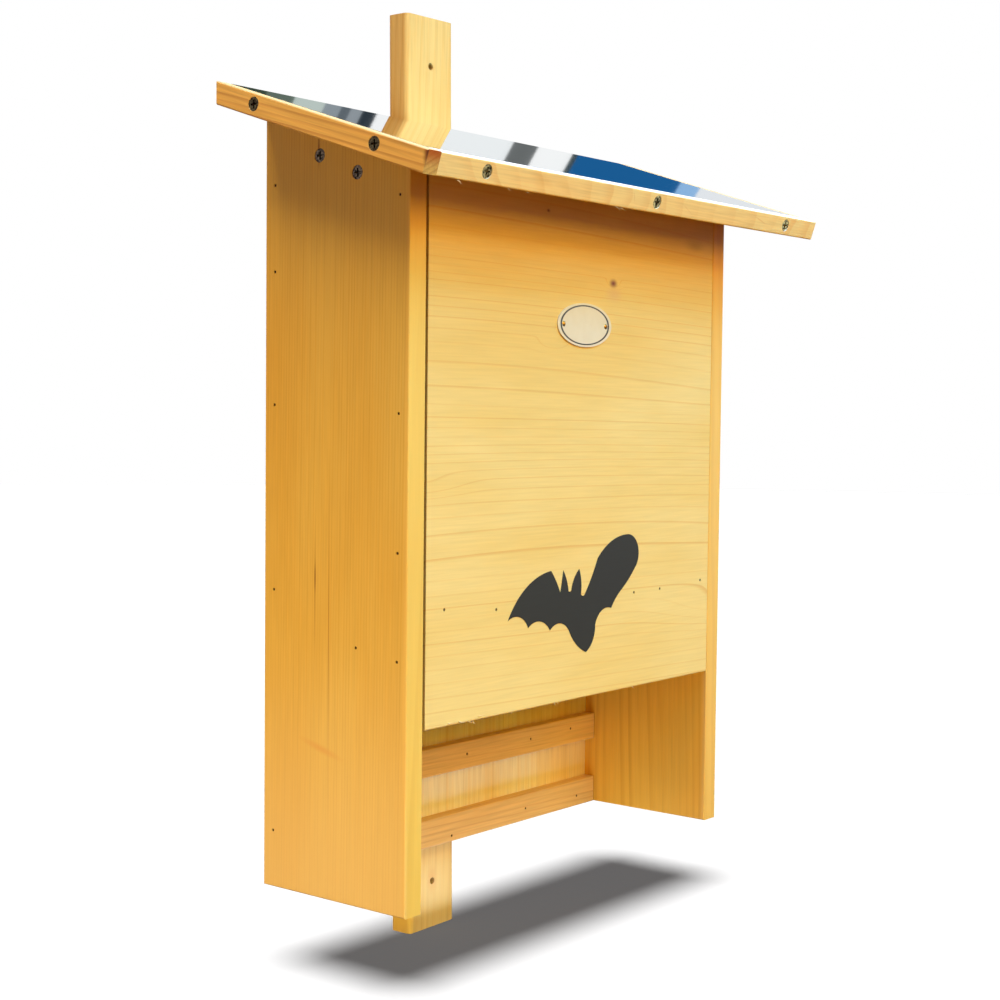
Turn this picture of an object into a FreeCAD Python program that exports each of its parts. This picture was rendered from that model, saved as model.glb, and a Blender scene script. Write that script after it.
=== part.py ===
import FreeCAD, Part
import math
import os

# A wooden bat box: two side panels, a nailed front and back, a sloping floor that leaves a slot
# at the back for the bats, two landing battens, and a roof board framed by strips and covered
# with a folded sheet. It hangs on one long wall rail.
# Frame: the origin is where the axis of the rail's upper screw hole meets the wall.
# +X is to the right seen from the front, +Y goes into the wall, +Z is up. Millimetres, degrees.

V = FreeCAD.Vector

# Driving dimensions: the wall rail
rail_width = 40.0
rail_thickness = 15.0
rail_length = 530.0
rail_round = 3.0            # radius along its four long edges
rail_hole_radius = 2.0      # screw holes to the wall
rail_hole_inset = 27.5      # hole centre to the rail's end
rail_lean = 0.9             # the rail stands slightly out of plumb with the box
rail_to_box_middle = 15.6   # upper hole to the middle of the box, to the right

# Driving dimensions: the box
box_width = 290.0           # over the two side panels
box_depth = 100.0           # side panel, front edge to back edge
box_below_hole = 448.5      # upper wall hole down to the feet of the side panels
side_front_height = 372.0   # side panel's front edge
side_thickness = 12.5
front_thickness = 12.5
front_recess = 0.3          # front panel behind the side panels' front edges
front_gap_left = 1.8        # between the front panel and the left side panel
front_gap_right = 0.2
front_lift = 92.8           # the front panel's lower right corner above the feet
front_crook = 0.9           # its bottom edge falls this much towards the left
back_thickness = 9.0
edge_round = 0.8            # eased arrises of the boards

# Driving dimensions: the floor and the battens
floor_thickness = 12.5
floor_slope = 37.0          # falls towards the back
floor_front_height = 148.0  # its centre line at the front panel, above the feet
entry_slot = 18.0           # floor's back edge to the back panel
batten_thickness = 7.5
batten_height = 16.5
batten_gap = 24.5           # between the lower and the upper batten
batten_end_gap = 0.8

# Driving dimensions: the roof
roof_pitch = 18.0
roof_thickness = 10.0
side_overhang = 37.0
roof_shift = 2.6            # the roof sits slightly to the right on the box
front_overhang = 40.0       # along the slope
sheet_thickness = 0.5
sheet_flange = 6.0          # folded down behind the strips
sheet_bend = 0.9            # outer radius of the folds
sheet_notch = 2.2           # corner left open between two flanges
strip_thickness = 9.5
strip_drop = 0.8            # the strips hang below the roof's underside
cleat_thickness = 12.5
cleat_height = 25.0
cleat_end_gap = 1.0

# Driving dimensions: the plate and the printed figure
plate_width = 50.0
plate_height = 24.0
plate_thickness = 0.8
plate_below_corner = 73.0     # its middle below the front corners of the side panels
plate_nail_inset = 5.4
print_thickness = 0.15
figure_scale = 1.0
figure_height_above_feet = 148.0

# Driving dimensions: fasteners
screw_head_radius = 3.6
screw_core_radius = 1.5
screw_point = 3.0
screw_recess_width = 1.0
screw_recess_span = 4.4
screw_recess_depth = 1.6
screw_sunk = 0.3
screw_sides = 16            # fasteners are many-sided, which keeps the meshes light
strip_screw_length = 25.0
cleat_screw_length = 22.0
roof_screw_length = 28.0
rail_screw_length = 22.0
brad_head_radius = 0.85
brad_head_height = 1.0
brad_core_radius = 0.6
brad_point = 1.2
brad_sunk = 0.4
brad_sides = 6
side_brad_length = 30.0
floor_front_brad_length = 17.5  # driven level into the falling floor, so it stays short
floor_side_brad_length = 30.0
batten_brad_length = 15.0
plate_nail_head_radius = 1.5
plate_nail_dome = 0.6
plate_nail_core_radius = 0.55
plate_nail_length = 9.0
plate_nail_sides = 12
fit_gap = 0.05              # round each fastener, and between the floor and its neighbours
overcut = 1.0               # how far a cut runs out past the surface it leaves

# Places of the fasteners
strip_screw_front_inset = 33.6
strip_screw_back_inset = 28.2
front_strip_screw_inset = 35.0
middle_screw_shift = 8.0    # the middle screw of the front strip is right of centre
first_cleat_screw = 32.5    # along the slope from the box front
cleat_screw_pitch = 28.0
cleat_screw_drops = (1.3, -0.5)  # below the cleat's middle line, front and back
roof_screw_inset = 9.0      # from the ends of the cleat
rail_screw_spread = 9.0     # each side of the rail's middle
rail_screw_end = 42.0       # from the ends of the back panel
front_brad_bottom = 34.5    # lowest brad above the front panel's bottom edge
front_brad_top = 16.0       # highest brad below the side panel's front corner
front_brad_shares = (0.0, 0.235, 0.535, 1.0)
back_brad_bottom = 30.0
back_brad_top = 38.0
back_brad_inset = 7.0       # from the back edge of the side panel
back_brad_shares = (0.0, 0.378, 0.664, 0.868, 1.0)
floor_brad_left_inset = 16.0   # from the side panels' inner faces
floor_brad_right_inset = 8.5
floor_brad_shares = (0.0, 0.174, 0.703, 0.815, 1.0)
floor_brad_rises = (3.4, 0.0, -0.5, -0.3, 1.7)  # above the floor's centre line, as hammered in
floor_side_brad = 21.5      # behind the front panel's back face
batten_brad_inset = 20.0
upper_batten_shares = (0.0, 0.225, 0.515, 0.79, 0.975)
upper_batten_rises = (0.0, 0.0, 0.4, 0.6, 1.4)  # above the batten's middle line
lower_batten_shares = (0.0, 0.21, 0.455, 0.77, 1.008)
lower_batten_rises = (0.0, 0.0, -4.8, -0.8, -1.9)

# Worked out from the sizes above
slope = math.radians(roof_pitch)
y_back = -rail_thickness
y_front = y_back - box_depth
z_foot = -box_below_hole
z_side_front = z_foot + side_front_height
x_middle = rail_to_box_middle
x_roof = x_middle + roof_shift
x_left = x_middle - box_width / 2
x_right = x_middle + box_width / 2
inner_left = x_left + side_thickness
inner_right = x_right - side_thickness
y_front_face = y_front + front_recess
y_front_inner = y_front_face + front_thickness
y_back_inner = y_back - back_thickness
strip_height = roof_thickness + sheet_thickness
roof_width = box_width + 2 * side_overhang
screw_head_height = screw_head_radius - screw_core_radius
far = 2 * (box_depth + box_width + rail_length)


def roof_underside(y):
    """Height of the roof's underside at a depth y."""
    return z_side_front + (y - y_front) * math.tan(slope)


def prism(points, start, direction):
    """Closed polygon of (y, z) points in the plane x = start, drawn out along X by direction."""
    corners = [V(start, y, z) for y, z in points]
    return Part.Face(Part.makePolygon(corners + corners[:1])).extrude(V(direction, 0, 0))


def block(low, high):
    """Box between two opposite corners."""
    return Part.makeBox(high[0] - low[0], high[1] - low[1], high[2] - low[2], V(*low))


def ease(shape, radius, along):
    """Round the straight edges that run along one of the given directions."""
    chosen = []
    for edge in shape.Edges:
        if edge.Curve.TypeId != "Part::GeomLine":
            continue
        way = edge.tangentAt(edge.FirstParameter)
        if any(abs(way.dot(direction)) > 0.9999 for direction in along):
            chosen.append(edge)
    return shape.makeFillet(radius, chosen)


def ring(radius, z, sides):
    """Corners of a regular polygon about the Z axis."""
    turns = [2 * math.pi * step / sides for step in range(sides)]
    return [V(radius * math.cos(turn), radius * math.sin(turn), z) for turn in turns]


def turned(profile, sides):
    """Many-sided solid about Z from (radius, z) points that run down from the axis and back to it."""
    faces = []
    for (near_radius, near_z), (next_radius, next_z) in zip(profile, profile[1:]):
        near = ring(near_radius, near_z, sides)
        after = ring(next_radius, next_z, sides)
        for step in range(sides):
            turn = (step + 1) % sides
            corners = [near[step]]
            if near_radius > 0:
                corners.append(near[turn])
            if next_radius > 0:
                corners.append(after[turn])
            corners.append(after[step])
            faces.append(Part.Face(Part.makePolygon(corners + corners[:1])))
    return Part.makeSolid(Part.makeShell(faces)).removeSplitter()


def aimed(shape, point, direction):
    """Put a fastener made along +Z with its head at the origin at a point, driven along direction."""
    moved = shape.copy()
    moved.Placement = FreeCAD.Placement(point, FreeCAD.Rotation(V(0, 0, 1), direction))
    return moved


def screw(length):
    """Countersunk screw driven along +Z, its head a little below the surface, with a cross recess."""
    top = screw_sunk
    neck = top + screw_head_height
    body = turned([(0, top), (screw_head_radius, top), (screw_core_radius, neck),
                   (screw_core_radius, length - screw_point), (0, length)], screw_sides)
    half = screw_recess_span / 2
    arm = screw_recess_width / 2
    wide = block((-half, -arm, 0), (half, arm, top + screw_recess_depth))
    tall = block((-arm, -half, 0), (arm, half, top + screw_recess_depth))
    return body.cut(wide.fuse(tall))


def screw_hole(length):
    """What the screw takes out of the wood, with its countersink open to the surface."""
    rim = screw_head_radius + fit_gap
    core = screw_core_radius + fit_gap
    top = screw_sunk - fit_gap
    return turned([(0, -overcut), (rim, -overcut), (rim, top), (core, top + rim - core),
                   (core, length - screw_point), (0, length + fit_gap)], screw_sides)


def brad(length):
    """Headed brad driven along +Z and set below the surface."""
    neck = brad_sunk + brad_head_height
    return turned([(0, brad_sunk), (brad_head_radius, brad_sunk), (brad_head_radius, neck),
                   (brad_core_radius, neck), (brad_core_radius, length - brad_point), (0, length)],
                  brad_sides)


def brad_hole(length):
    """What the brad takes out of the wood."""
    rim = brad_head_radius + fit_gap
    core = brad_core_radius + fit_gap
    neck = brad_sunk + brad_head_height
    return turned([(0, -overcut), (rim, -overcut), (rim, neck), (core, neck),
                   (core, length - brad_point), (0, length + fit_gap)], brad_sides)


def driven(maker, hole_maker, length, places):
    """Fasteners of one length at (point, direction) places, and their holes."""
    one = maker(length)
    hole = hole_maker(length)
    made = [aimed(one, point, direction) for point, direction in places]
    holes = [aimed(hole, point, direction) for point, direction in places]
    return made, holes


def spread(low, high, shares):
    """Places between two ends at the given shares of the way."""
    return [low + (high - low) * share for share in shares]


def on_rail(shape):
    """Turn a piece made on the plumb rail to the rail's lean, about the upper hole."""
    moved = shape.copy()
    moved.rotate(V(0, 0, 0), V(0, 1, 0), -rail_lean)
    return moved


def on_roof(shape):
    """Move a piece from the roof's flat frame to the slope, its origin over the box front."""
    moved = shape.copy()
    moved.Placement = FreeCAD.Placement(V(x_roof, y_front, z_side_front),
                                        FreeCAD.Rotation(V(1, 0, 0), roof_pitch))
    return moved


def roof_point(x, v, w):
    """Point on the slope: x from the roof's middle, v up the slope, w above the underside."""
    return V(x_roof + x, y_front + v * math.cos(slope) - w * math.sin(slope),
             z_side_front + v * math.sin(slope) + w * math.cos(slope))


def plumb_back(shape):
    """Saw a roof piece plumb where the rail stands."""
    return shape.cut(block((-far, y_back, -far), (far, far, far)))


right = V(1, 0, 0)
left = V(-1, 0, 0)
backward = V(0, 1, 0)
forward = V(0, -1, 0)
upright = V(0, 0, 1)
up_slope = V(0, math.cos(slope), math.sin(slope))
roof_normal = V(0, -math.sin(slope), math.cos(slope))


# Fasteners in the sides

y_front_brad = y_front_face + front_thickness / 2
y_back_brad = y_back - back_brad_inset
front_column = spread(z_foot + front_lift + front_brad_bottom, z_side_front - front_brad_top,
                      front_brad_shares)
back_column = spread(z_foot + back_brad_bottom, roof_underside(y_back) - back_brad_top,
                     back_brad_shares)
floor_fall = math.tan(math.radians(floor_slope))
y_floor_brad = y_front_inner + floor_side_brad
z_floor_front = z_foot + floor_front_height
z_floor_brad = z_floor_front - floor_side_brad * floor_fall


def from_both_sides(spots):
    """Places through the left and the right side panel at the same (y, z) spots."""
    return ([(V(x_left, y, z), right) for y, z in spots]
            + [(V(x_right, y, z), left) for y, z in spots])


front_brads, front_brad_holes = driven(
    brad, brad_hole, side_brad_length, from_both_sides([(y_front_brad, z) for z in front_column]))
back_brads, back_brad_holes = driven(
    brad, brad_hole, side_brad_length, from_both_sides([(y_back_brad, z) for z in back_column]))
floor_row = spread(inner_left + floor_brad_left_inset, inner_right - floor_brad_right_inset,
                   floor_brad_shares)
floor_front_brads, floor_front_holes = driven(
    brad, brad_hole, floor_front_brad_length,
    [(V(x, y_front_face, z_floor_front + rise), backward)
     for x, rise in zip(floor_row, floor_brad_rises)])
floor_side_brads, floor_side_holes = driven(
    brad, brad_hole, floor_side_brad_length, from_both_sides([(y_floor_brad, z_floor_brad)]))

cleat_spots = []
for v, drop in zip((first_cleat_screw, first_cleat_screw + cleat_screw_pitch), cleat_screw_drops):
    spot = roof_point(0, v, -cleat_height / 2 - drop)
    cleat_spots.append((spot.y, spot.z))
cleat_screws, cleat_screw_holes = driven(
    screw, screw_hole, cleat_screw_length, from_both_sides(cleat_spots))

# Side panels: one board each, its top sawn to the roof's pitch

side_profile = [(y_front, z_foot), (y_back, z_foot), (y_back, roof_underside(y_back)),
                (y_front, z_side_front)]
side_holes = Part.makeCompound(front_brad_holes + back_brad_holes + floor_side_holes
                               + cleat_screw_holes)


def side_panel(start):
    """Side panel whose left face is at x = start."""
    board = prism(side_profile, start, side_thickness)
    return ease(board, edge_round, [upright, backward]).cut(side_holes)


parts = {}
parts["side_panel_left"] = side_panel(x_left)
parts["side_panel_right"] = side_panel(inner_right)

# Front panel: horizontal grain, its top edge bevelled under the roof, its bottom edge sawn a
# little out of level

front_left = inner_left + front_gap_left
front_right = inner_right - front_gap_right
z_front_bottom = z_foot + front_lift
z_front_low = z_front_bottom - front_crook
bottom_run = V(front_right - front_left, 0, front_crook).normalize()
front_panel = prism([(y_front_face, z_front_low), (y_front_inner, z_front_low),
                     (y_front_inner, roof_underside(y_front_inner)),
                     (y_front_face, roof_underside(y_front_face))],
                    front_left, front_right - front_left)
sawn_off = Part.Face(Part.makePolygon(
    [V(x, y_front, z) for x, z in ((front_left, z_front_low), (front_right, z_front_bottom),
                                   (front_right, z_front_low), (front_left, z_front_low))]))
front_panel = front_panel.cut(sawn_off.extrude(backward * (front_recess + front_thickness + overcut)))

z_plate = z_side_front - plate_below_corner
plate_nail_span = plate_width / 2 - plate_nail_inset


def plate_nail(length):
    """Small domed nail driven along +Z, its dome standing on the plate."""
    ball = (plate_nail_head_radius ** 2 + plate_nail_dome ** 2) / (2 * plate_nail_dome)
    reach = math.asin(plate_nail_head_radius / ball)
    dome = [(ball * math.sin(turn), ball - plate_nail_dome - ball * math.cos(turn))
            for turn in (0, reach / 3, 2 * reach / 3)]
    return turned(dome + [(plate_nail_head_radius, 0), (plate_nail_core_radius, 0),
                          (plate_nail_core_radius, length - brad_point), (0, length)],
                  plate_nail_sides)


def plate_nail_hole(length):
    """What the plate nail takes out of the plate and the front panel."""
    core = plate_nail_core_radius + fit_gap
    return turned([(0, -fit_gap), (core, -fit_gap), (core, length - brad_point),
                   (0, length + fit_gap)], plate_nail_sides)


y_plate_face = y_front_face - plate_thickness
plate_nails, plate_nail_holes = driven(
    plate_nail, plate_nail_hole, plate_nail_length,
    [(V(x_middle + way * plate_nail_span, y_plate_face, z_plate), backward) for way in (-1, 1)])

front_panel = ease(front_panel, edge_round, [right, bottom_run])
parts["front_panel"] = front_panel.cut(
    Part.makeCompound(front_brad_holes + floor_front_holes + plate_nail_holes))

# Back panel and the two landing battens nailed across it

batten_left = inner_left + batten_end_gap
batten_right = inner_right - batten_end_gap
y_batten_face = y_back_inner - batten_thickness
z_batten_low = z_foot
z_batten_high = z_foot + batten_height + batten_gap


def batten(z_bottom, shares, rises):
    """Landing batten with its brads and their holes."""
    row = spread(batten_left + batten_brad_inset, batten_right - batten_brad_inset, shares)
    places = [(V(x, y_batten_face, z_bottom + batten_height / 2 + rise), backward)
              for x, rise in zip(row, rises)]
    brads, holes = driven(brad, brad_hole, batten_brad_length, places)
    strip = block((batten_left, y_batten_face, z_bottom),
                  (batten_right, y_back_inner, z_bottom + batten_height))
    return ease(strip, edge_round, [right]).cut(Part.makeCompound(holes)), brads, holes


lower_batten, lower_brads, lower_holes = batten(z_batten_low, lower_batten_shares,
                                                lower_batten_rises)
upper_batten, upper_brads, upper_holes = batten(z_batten_high, upper_batten_shares,
                                                upper_batten_rises)
parts["landing_batten_lower"] = lower_batten
parts["landing_batten_upper"] = upper_batten

# Wall rail: a planed batten with rounded arrises, screwed to the back panel from behind

rail_top = rail_hole_inset
rail_bottom = rail_top - rail_length
rail = block((-rail_width / 2, -rail_thickness, rail_bottom), (rail_width / 2, 0, rail_top))
rail = ease(rail, rail_round, [upright])
for z_hole in (0, rail_bottom + rail_hole_inset):
    rail = rail.cut(Part.makeCylinder(rail_hole_radius, rail_thickness + 2 * overcut,
                                      V(0, overcut, z_hole), forward))

rail_rows = (z_foot + rail_screw_end, roof_underside(y_back_inner) - rail_screw_end)
rail_places = [(V(way * rail_screw_spread, 0, z), forward) for z in rail_rows for way in (-1, 1)]
rail_screws, rail_screw_holes = driven(screw, screw_hole, rail_screw_length, rail_places)
parts["mounting_rail"] = on_rail(rail.cut(Part.makeCompound(rail_screw_holes)))
rail_screws = [on_rail(piece) for piece in rail_screws]
rail_screw_holes = [on_rail(piece) for piece in rail_screw_holes]

back_panel = prism([(y_back_inner, z_foot), (y_back, z_foot), (y_back, roof_underside(y_back)),
                    (y_back_inner, roof_underside(y_back_inner))],
                   inner_left, inner_right - inner_left)
parts["back_panel"] = back_panel.cut(
    Part.makeCompound(back_brad_holes + lower_holes + upper_holes + rail_screw_holes))

# Sloping floor: its front edge sawn plumb against the front panel, its back edge square

fall = math.radians(floor_slope)
floor_along = (math.cos(fall), -math.sin(fall))
floor_up = (math.sin(fall), math.cos(fall))
half_floor = floor_thickness / 2
y_floor_end = y_back_inner - entry_slot
plumb_half = half_floor / math.cos(fall)
# the square back edge's upper corner stands furthest back
floor_run = (y_floor_end - y_front_inner - half_floor * floor_up[0]) / floor_along[0]


def floor_point(run, lift):
    """Point of the floor's section: run along its centre line from the front, lift above it."""
    return (y_front_inner + run * floor_along[0] + lift * floor_up[0],
            z_floor_front + run * floor_along[1] + lift * floor_up[1])


floor = prism([(y_front_inner, z_floor_front + plumb_half), (y_front_inner, z_floor_front - plumb_half),
               floor_point(floor_run, -half_floor), floor_point(floor_run, half_floor)],
              inner_left + fit_gap, inner_right - inner_left - 2 * fit_gap)
parts["sloping_floor"] = floor.cut(Part.makeCompound(floor_front_holes + floor_side_holes))

# Roof: board, cleats, folded sheet and three edge strips

v_front = -front_overhang
v_far = box_depth / math.cos(slope) + 4 * strip_height
strip_inner = roof_width / 2 - strip_thickness
board_half = strip_inner - sheet_thickness
v_board = v_front + strip_thickness + sheet_thickness
v_back_middle = (box_depth + strip_height / 2 * math.sin(slope)) / math.cos(slope)

cleat_low = y_front_inner + cleat_end_gap
cleat_high = y_back_inner - cleat_end_gap
cleat_drop = cleat_height / math.cos(slope)
cleat_profile = [(cleat_low, roof_underside(cleat_low)), (cleat_high, roof_underside(cleat_high)),
                 (cleat_high, roof_underside(cleat_high) - cleat_drop),
                 (cleat_low, roof_underside(cleat_low) - cleat_drop)]

roof_screw_spots = []
for y in (cleat_low + roof_screw_inset, cleat_high - roof_screw_inset):
    for x in (inner_left + cleat_thickness / 2, inner_right - cleat_thickness / 2):
        foot = V(x, y, roof_underside(y))
        roof_screw_spots.append((foot + roof_normal * roof_thickness, roof_normal * -1))
roof_screws, roof_screw_holes = driven(screw, screw_hole, roof_screw_length, roof_screw_spots)

cleat_holes = Part.makeCompound(cleat_screw_holes + roof_screw_holes)
for name, start in (("roof_cleat_left", inner_left),
                    ("roof_cleat_right", inner_right - cleat_thickness)):
    parts[name] = prism(cleat_profile, start, cleat_thickness).cut(cleat_holes)

strip_middle = strip_height / 2
side_strip_row = (v_front + strip_screw_front_inset, v_back_middle - strip_screw_back_inset)
strip_places = []
for v in side_strip_row:
    strip_places.append((roof_point(-roof_width / 2, v, strip_middle), right))
    strip_places.append((roof_point(roof_width / 2, v, strip_middle), left))
front_strip_row = (-strip_inner + front_strip_screw_inset, middle_screw_shift,
                   roof_width / 2 - front_strip_screw_inset)
for x in front_strip_row:
    strip_places.append((roof_point(x, v_front, strip_middle), up_slope))
strip_screws, strip_screw_holes = driven(screw, screw_hole, strip_screw_length, strip_places)
strip_holes = Part.makeCompound(strip_screw_holes)

board = on_roof(block((-board_half, v_board, 0), (board_half, v_far, roof_thickness)))
parts["roof_board"] = plumb_back(board).cut(Part.makeCompound(strip_screw_holes + roof_screw_holes))


def folded_sheet():
    """Sheet over the board in the roof's flat frame, with a flange folded down on three edges."""
    low = strip_height - sheet_flange
    v_sheet = v_front + strip_thickness
    outer = block((-strip_inner, v_sheet, low), (strip_inner, v_far, strip_height))
    folds = [edge for edge in outer.Edges
             if abs(edge.CenterOfMass.z - strip_height) < 0.01
             and (abs(abs(edge.CenterOfMass.x) - strip_inner) < 0.01
                  or abs(edge.CenterOfMass.y - v_sheet) < 0.01)]
    outer = outer.makeFillet(sheet_bend, folds)
    hollow = block((-board_half, v_board, low - overcut),
                   (board_half, v_far + overcut, roof_thickness))
    tray = outer.cut(hollow)
    for way in (-1, 1):
        corner = V(way * strip_inner, v_sheet, low - overcut)
        tray = tray.cut(Part.makeCylinder(sheet_notch, sheet_flange + 2 * overcut, corner, upright))
    return tray


parts["roof_sheet"] = plumb_back(on_roof(folded_sheet())).cut(strip_holes)


def roof_strip(low_x, high_x, low_v, high_v, rounded):
    """Edge strip in the roof's flat frame, rounded along one direction, then set on the slope."""
    strip = block((low_x, low_v, -strip_drop), (high_x, high_v, strip_height))
    return plumb_back(on_roof(ease(strip, edge_round, [rounded]))).cut(strip_holes)


half_roof = roof_width / 2
v_strip_inner = v_front + strip_thickness
parts["roof_strip_left"] = roof_strip(-half_roof, -strip_inner, v_front, v_far, backward)
parts["roof_strip_right"] = roof_strip(strip_inner, half_roof, v_strip_inner, v_far, backward)
parts["roof_strip_front"] = roof_strip(-strip_inner, half_roof, v_front, v_strip_inner, right)

# Oval plate, bare, on two small domed nails

outline = Part.Ellipse(V(0, 0, 0), plate_width / 2, plate_height / 2).toShape()
plate = Part.Face(Part.Wire([outline])).extrude(V(0, 0, plate_thickness))
plate.Placement = FreeCAD.Placement(V(x_middle, y_front_face, z_plate),
                                    FreeCAD.Rotation(V(1, 0, 0), 90))
parts["name_plate"] = plate.cut(Part.makeCompound(plate_nail_holes))

# Printed figure of a flying bat: arcs through (x, z) points about the box middle.
# Each line gives the arc's middle and its end, and a straight run has no middle.

figure_start = (-65.0, -7.0)
figure_arcs = [
    ((-50.5, 8.8), (-27.5, 17.2)),       # left wing, leading edge to the wrist
    ((-23.0, 11.5), (-19.0, 4.6)),       # left forearm
    (None, (-16.4, 16.8)),               # left ear
    ((-13.2, 11.2), (-11.4, 5.0)),
    ((-10.1, 4.6), (-8.8, 5.4)),         # crown
    ((-6.2, 11.8), (-1.6, 16.6)),        # right ear
    ((0.4, 9.6), (0.2, 2.4)),
    ((2.2, 1.4), (4.4, 2.8)),            # right shoulder
    ((10.2, 11.2), (15.8, 21.4)),        # right forearm
    ((29.0, 30.4), (45.4, 33.6)),        # right wing, leading edge
    ((55.6, 27.0), (54.2, 15.2)),        # wing tip
    ((47.6, 8.5), (40.0, 2.4)),          # trailing edge, first bay
    ((34.8, -1.6), (29.6, -7.6)),
    ((20.6, -8.2), (14.2, -15.8)),
    ((12.6, -23.4), (5.6, -30.4)),       # right flank to the tail
    ((-3.4, -25.4), (-9.6, -18.6)),      # tail to the left leg
    ((-18.6, -12.2), (-28.0, -15.2)),    # left wing, trailing edge
    ((-36.6, -9.6), (-47.4, -12.2)),
    ((-55.4, -5.6), (-65.0, -7.0)),
]


def figure_point(pair):
    """Point of the printed figure on the front panel's face."""
    return V(x_middle + pair[0] * figure_scale, y_front_face,
             z_foot + figure_height_above_feet + pair[1] * figure_scale)


pen = figure_point(figure_start)
edges = []
for middle, end in figure_arcs:
    stop = figure_point(end)
    if middle is None:
        edges.append(Part.LineSegment(pen, stop).toShape())
    else:
        edges.append(Part.Arc(pen, figure_point(middle), stop).toShape())
    pen = stop
parts["printed_bat"] = Part.Face(Part.Wire(edges)).extrude(V(0, -print_thickness, 0))

# Groups of like fasteners

parts["strip_screws"] = Part.makeCompound(strip_screws)
parts["cleat_screws"] = Part.makeCompound(cleat_screws)
parts["roof_board_screws"] = Part.makeCompound(roof_screws)
parts["rail_screws"] = Part.makeCompound(rail_screws)
parts["front_panel_brads"] = Part.makeCompound(front_brads)
parts["back_panel_brads"] = Part.makeCompound(back_brads)
parts["floor_brads"] = Part.makeCompound(floor_front_brads + floor_side_brads)
parts["batten_brads"] = Part.makeCompound(lower_brads + upper_brads)
parts["plate_nails"] = Part.makeCompound(plate_nails)

os.makedirs("parts", exist_ok=True)
for name, shape in parts.items():
    shape.exportStep(os.path.join("parts", name + ".step"))
    print(name, "solids", len(shape.Solids), "volume", round(shape.Volume, 2), "valid", shape.isValid())
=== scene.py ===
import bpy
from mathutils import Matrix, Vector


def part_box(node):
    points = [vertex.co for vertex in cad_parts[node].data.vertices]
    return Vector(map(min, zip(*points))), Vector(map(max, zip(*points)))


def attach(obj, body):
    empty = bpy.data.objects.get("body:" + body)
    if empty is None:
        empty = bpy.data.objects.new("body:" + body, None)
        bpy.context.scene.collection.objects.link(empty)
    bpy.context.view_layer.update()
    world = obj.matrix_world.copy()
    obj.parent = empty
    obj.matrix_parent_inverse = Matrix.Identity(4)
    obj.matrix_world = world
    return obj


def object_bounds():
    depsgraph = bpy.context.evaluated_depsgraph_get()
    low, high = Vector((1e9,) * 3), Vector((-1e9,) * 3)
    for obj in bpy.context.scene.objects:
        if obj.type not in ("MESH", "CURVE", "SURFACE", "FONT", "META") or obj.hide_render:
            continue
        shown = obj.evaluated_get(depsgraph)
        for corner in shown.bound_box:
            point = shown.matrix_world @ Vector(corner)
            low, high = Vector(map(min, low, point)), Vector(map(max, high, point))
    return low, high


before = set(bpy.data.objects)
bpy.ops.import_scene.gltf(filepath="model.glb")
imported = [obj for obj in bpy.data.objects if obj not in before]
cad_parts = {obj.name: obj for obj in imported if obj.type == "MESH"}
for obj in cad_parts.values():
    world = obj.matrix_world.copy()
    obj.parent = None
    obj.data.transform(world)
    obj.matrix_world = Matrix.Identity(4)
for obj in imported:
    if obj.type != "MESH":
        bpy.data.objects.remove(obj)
cad_box = [list(corner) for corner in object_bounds()]

import math
import bpy
import numpy as np
from mathutils import Matrix, Vector

# Side panels: two planed spruce boards, their grain upright and cut close to the radius of the
# log, so the growth rings show as fine straight lines. Stained honey orange, nailed to the front
# and back panels, and sawn at the top to the roof's pitch.


def srgb(code):
    """Linear colour of an sRGB hex value, by the standard's two-part curve."""
    parts = [int(code[i:i + 2], 16) / 255 for i in (1, 3, 5)]
    return [p / 12.92 if p <= 0.04045 else ((p + 0.055) / 1.055) ** 2.4 for p in parts] + [1.0]


def add(material, kind, inputs=None, **settings):
    """Add a node to a material: settings go on the node, inputs are values or sockets to link."""
    tree = material.node_tree
    node = tree.nodes.new(kind)
    for key, value in settings.items():
        setattr(node, key, value)
    for key, value in (inputs or {}).items():
        if isinstance(value, bpy.types.NodeSocket):
            tree.links.new(value, node.inputs[key])
        else:
            node.inputs[key].default_value = value
    return node


def new_material(name):
    """An empty node material."""
    material = bpy.data.materials.new(name)
    material.use_nodes = True
    material.node_tree.nodes.clear()
    return material


def wear(node_name, material):
    """Give a CAD node's only slot a material."""
    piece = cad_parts[node_name]
    if not piece.material_slots:
        piece.data.materials.append(material)
    for slot in piece.material_slots:
        slot.material = material


NO_TURN = (0.0, 0.0, 0.0)
UPRIGHT_GRAIN = {"turn": (0.0, math.radians(90), 0.0), "axis": (0, 0, 1)}
LEVEL_GRAIN = {"turn": NO_TURN, "axis": (1, 0, 0)}


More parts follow.
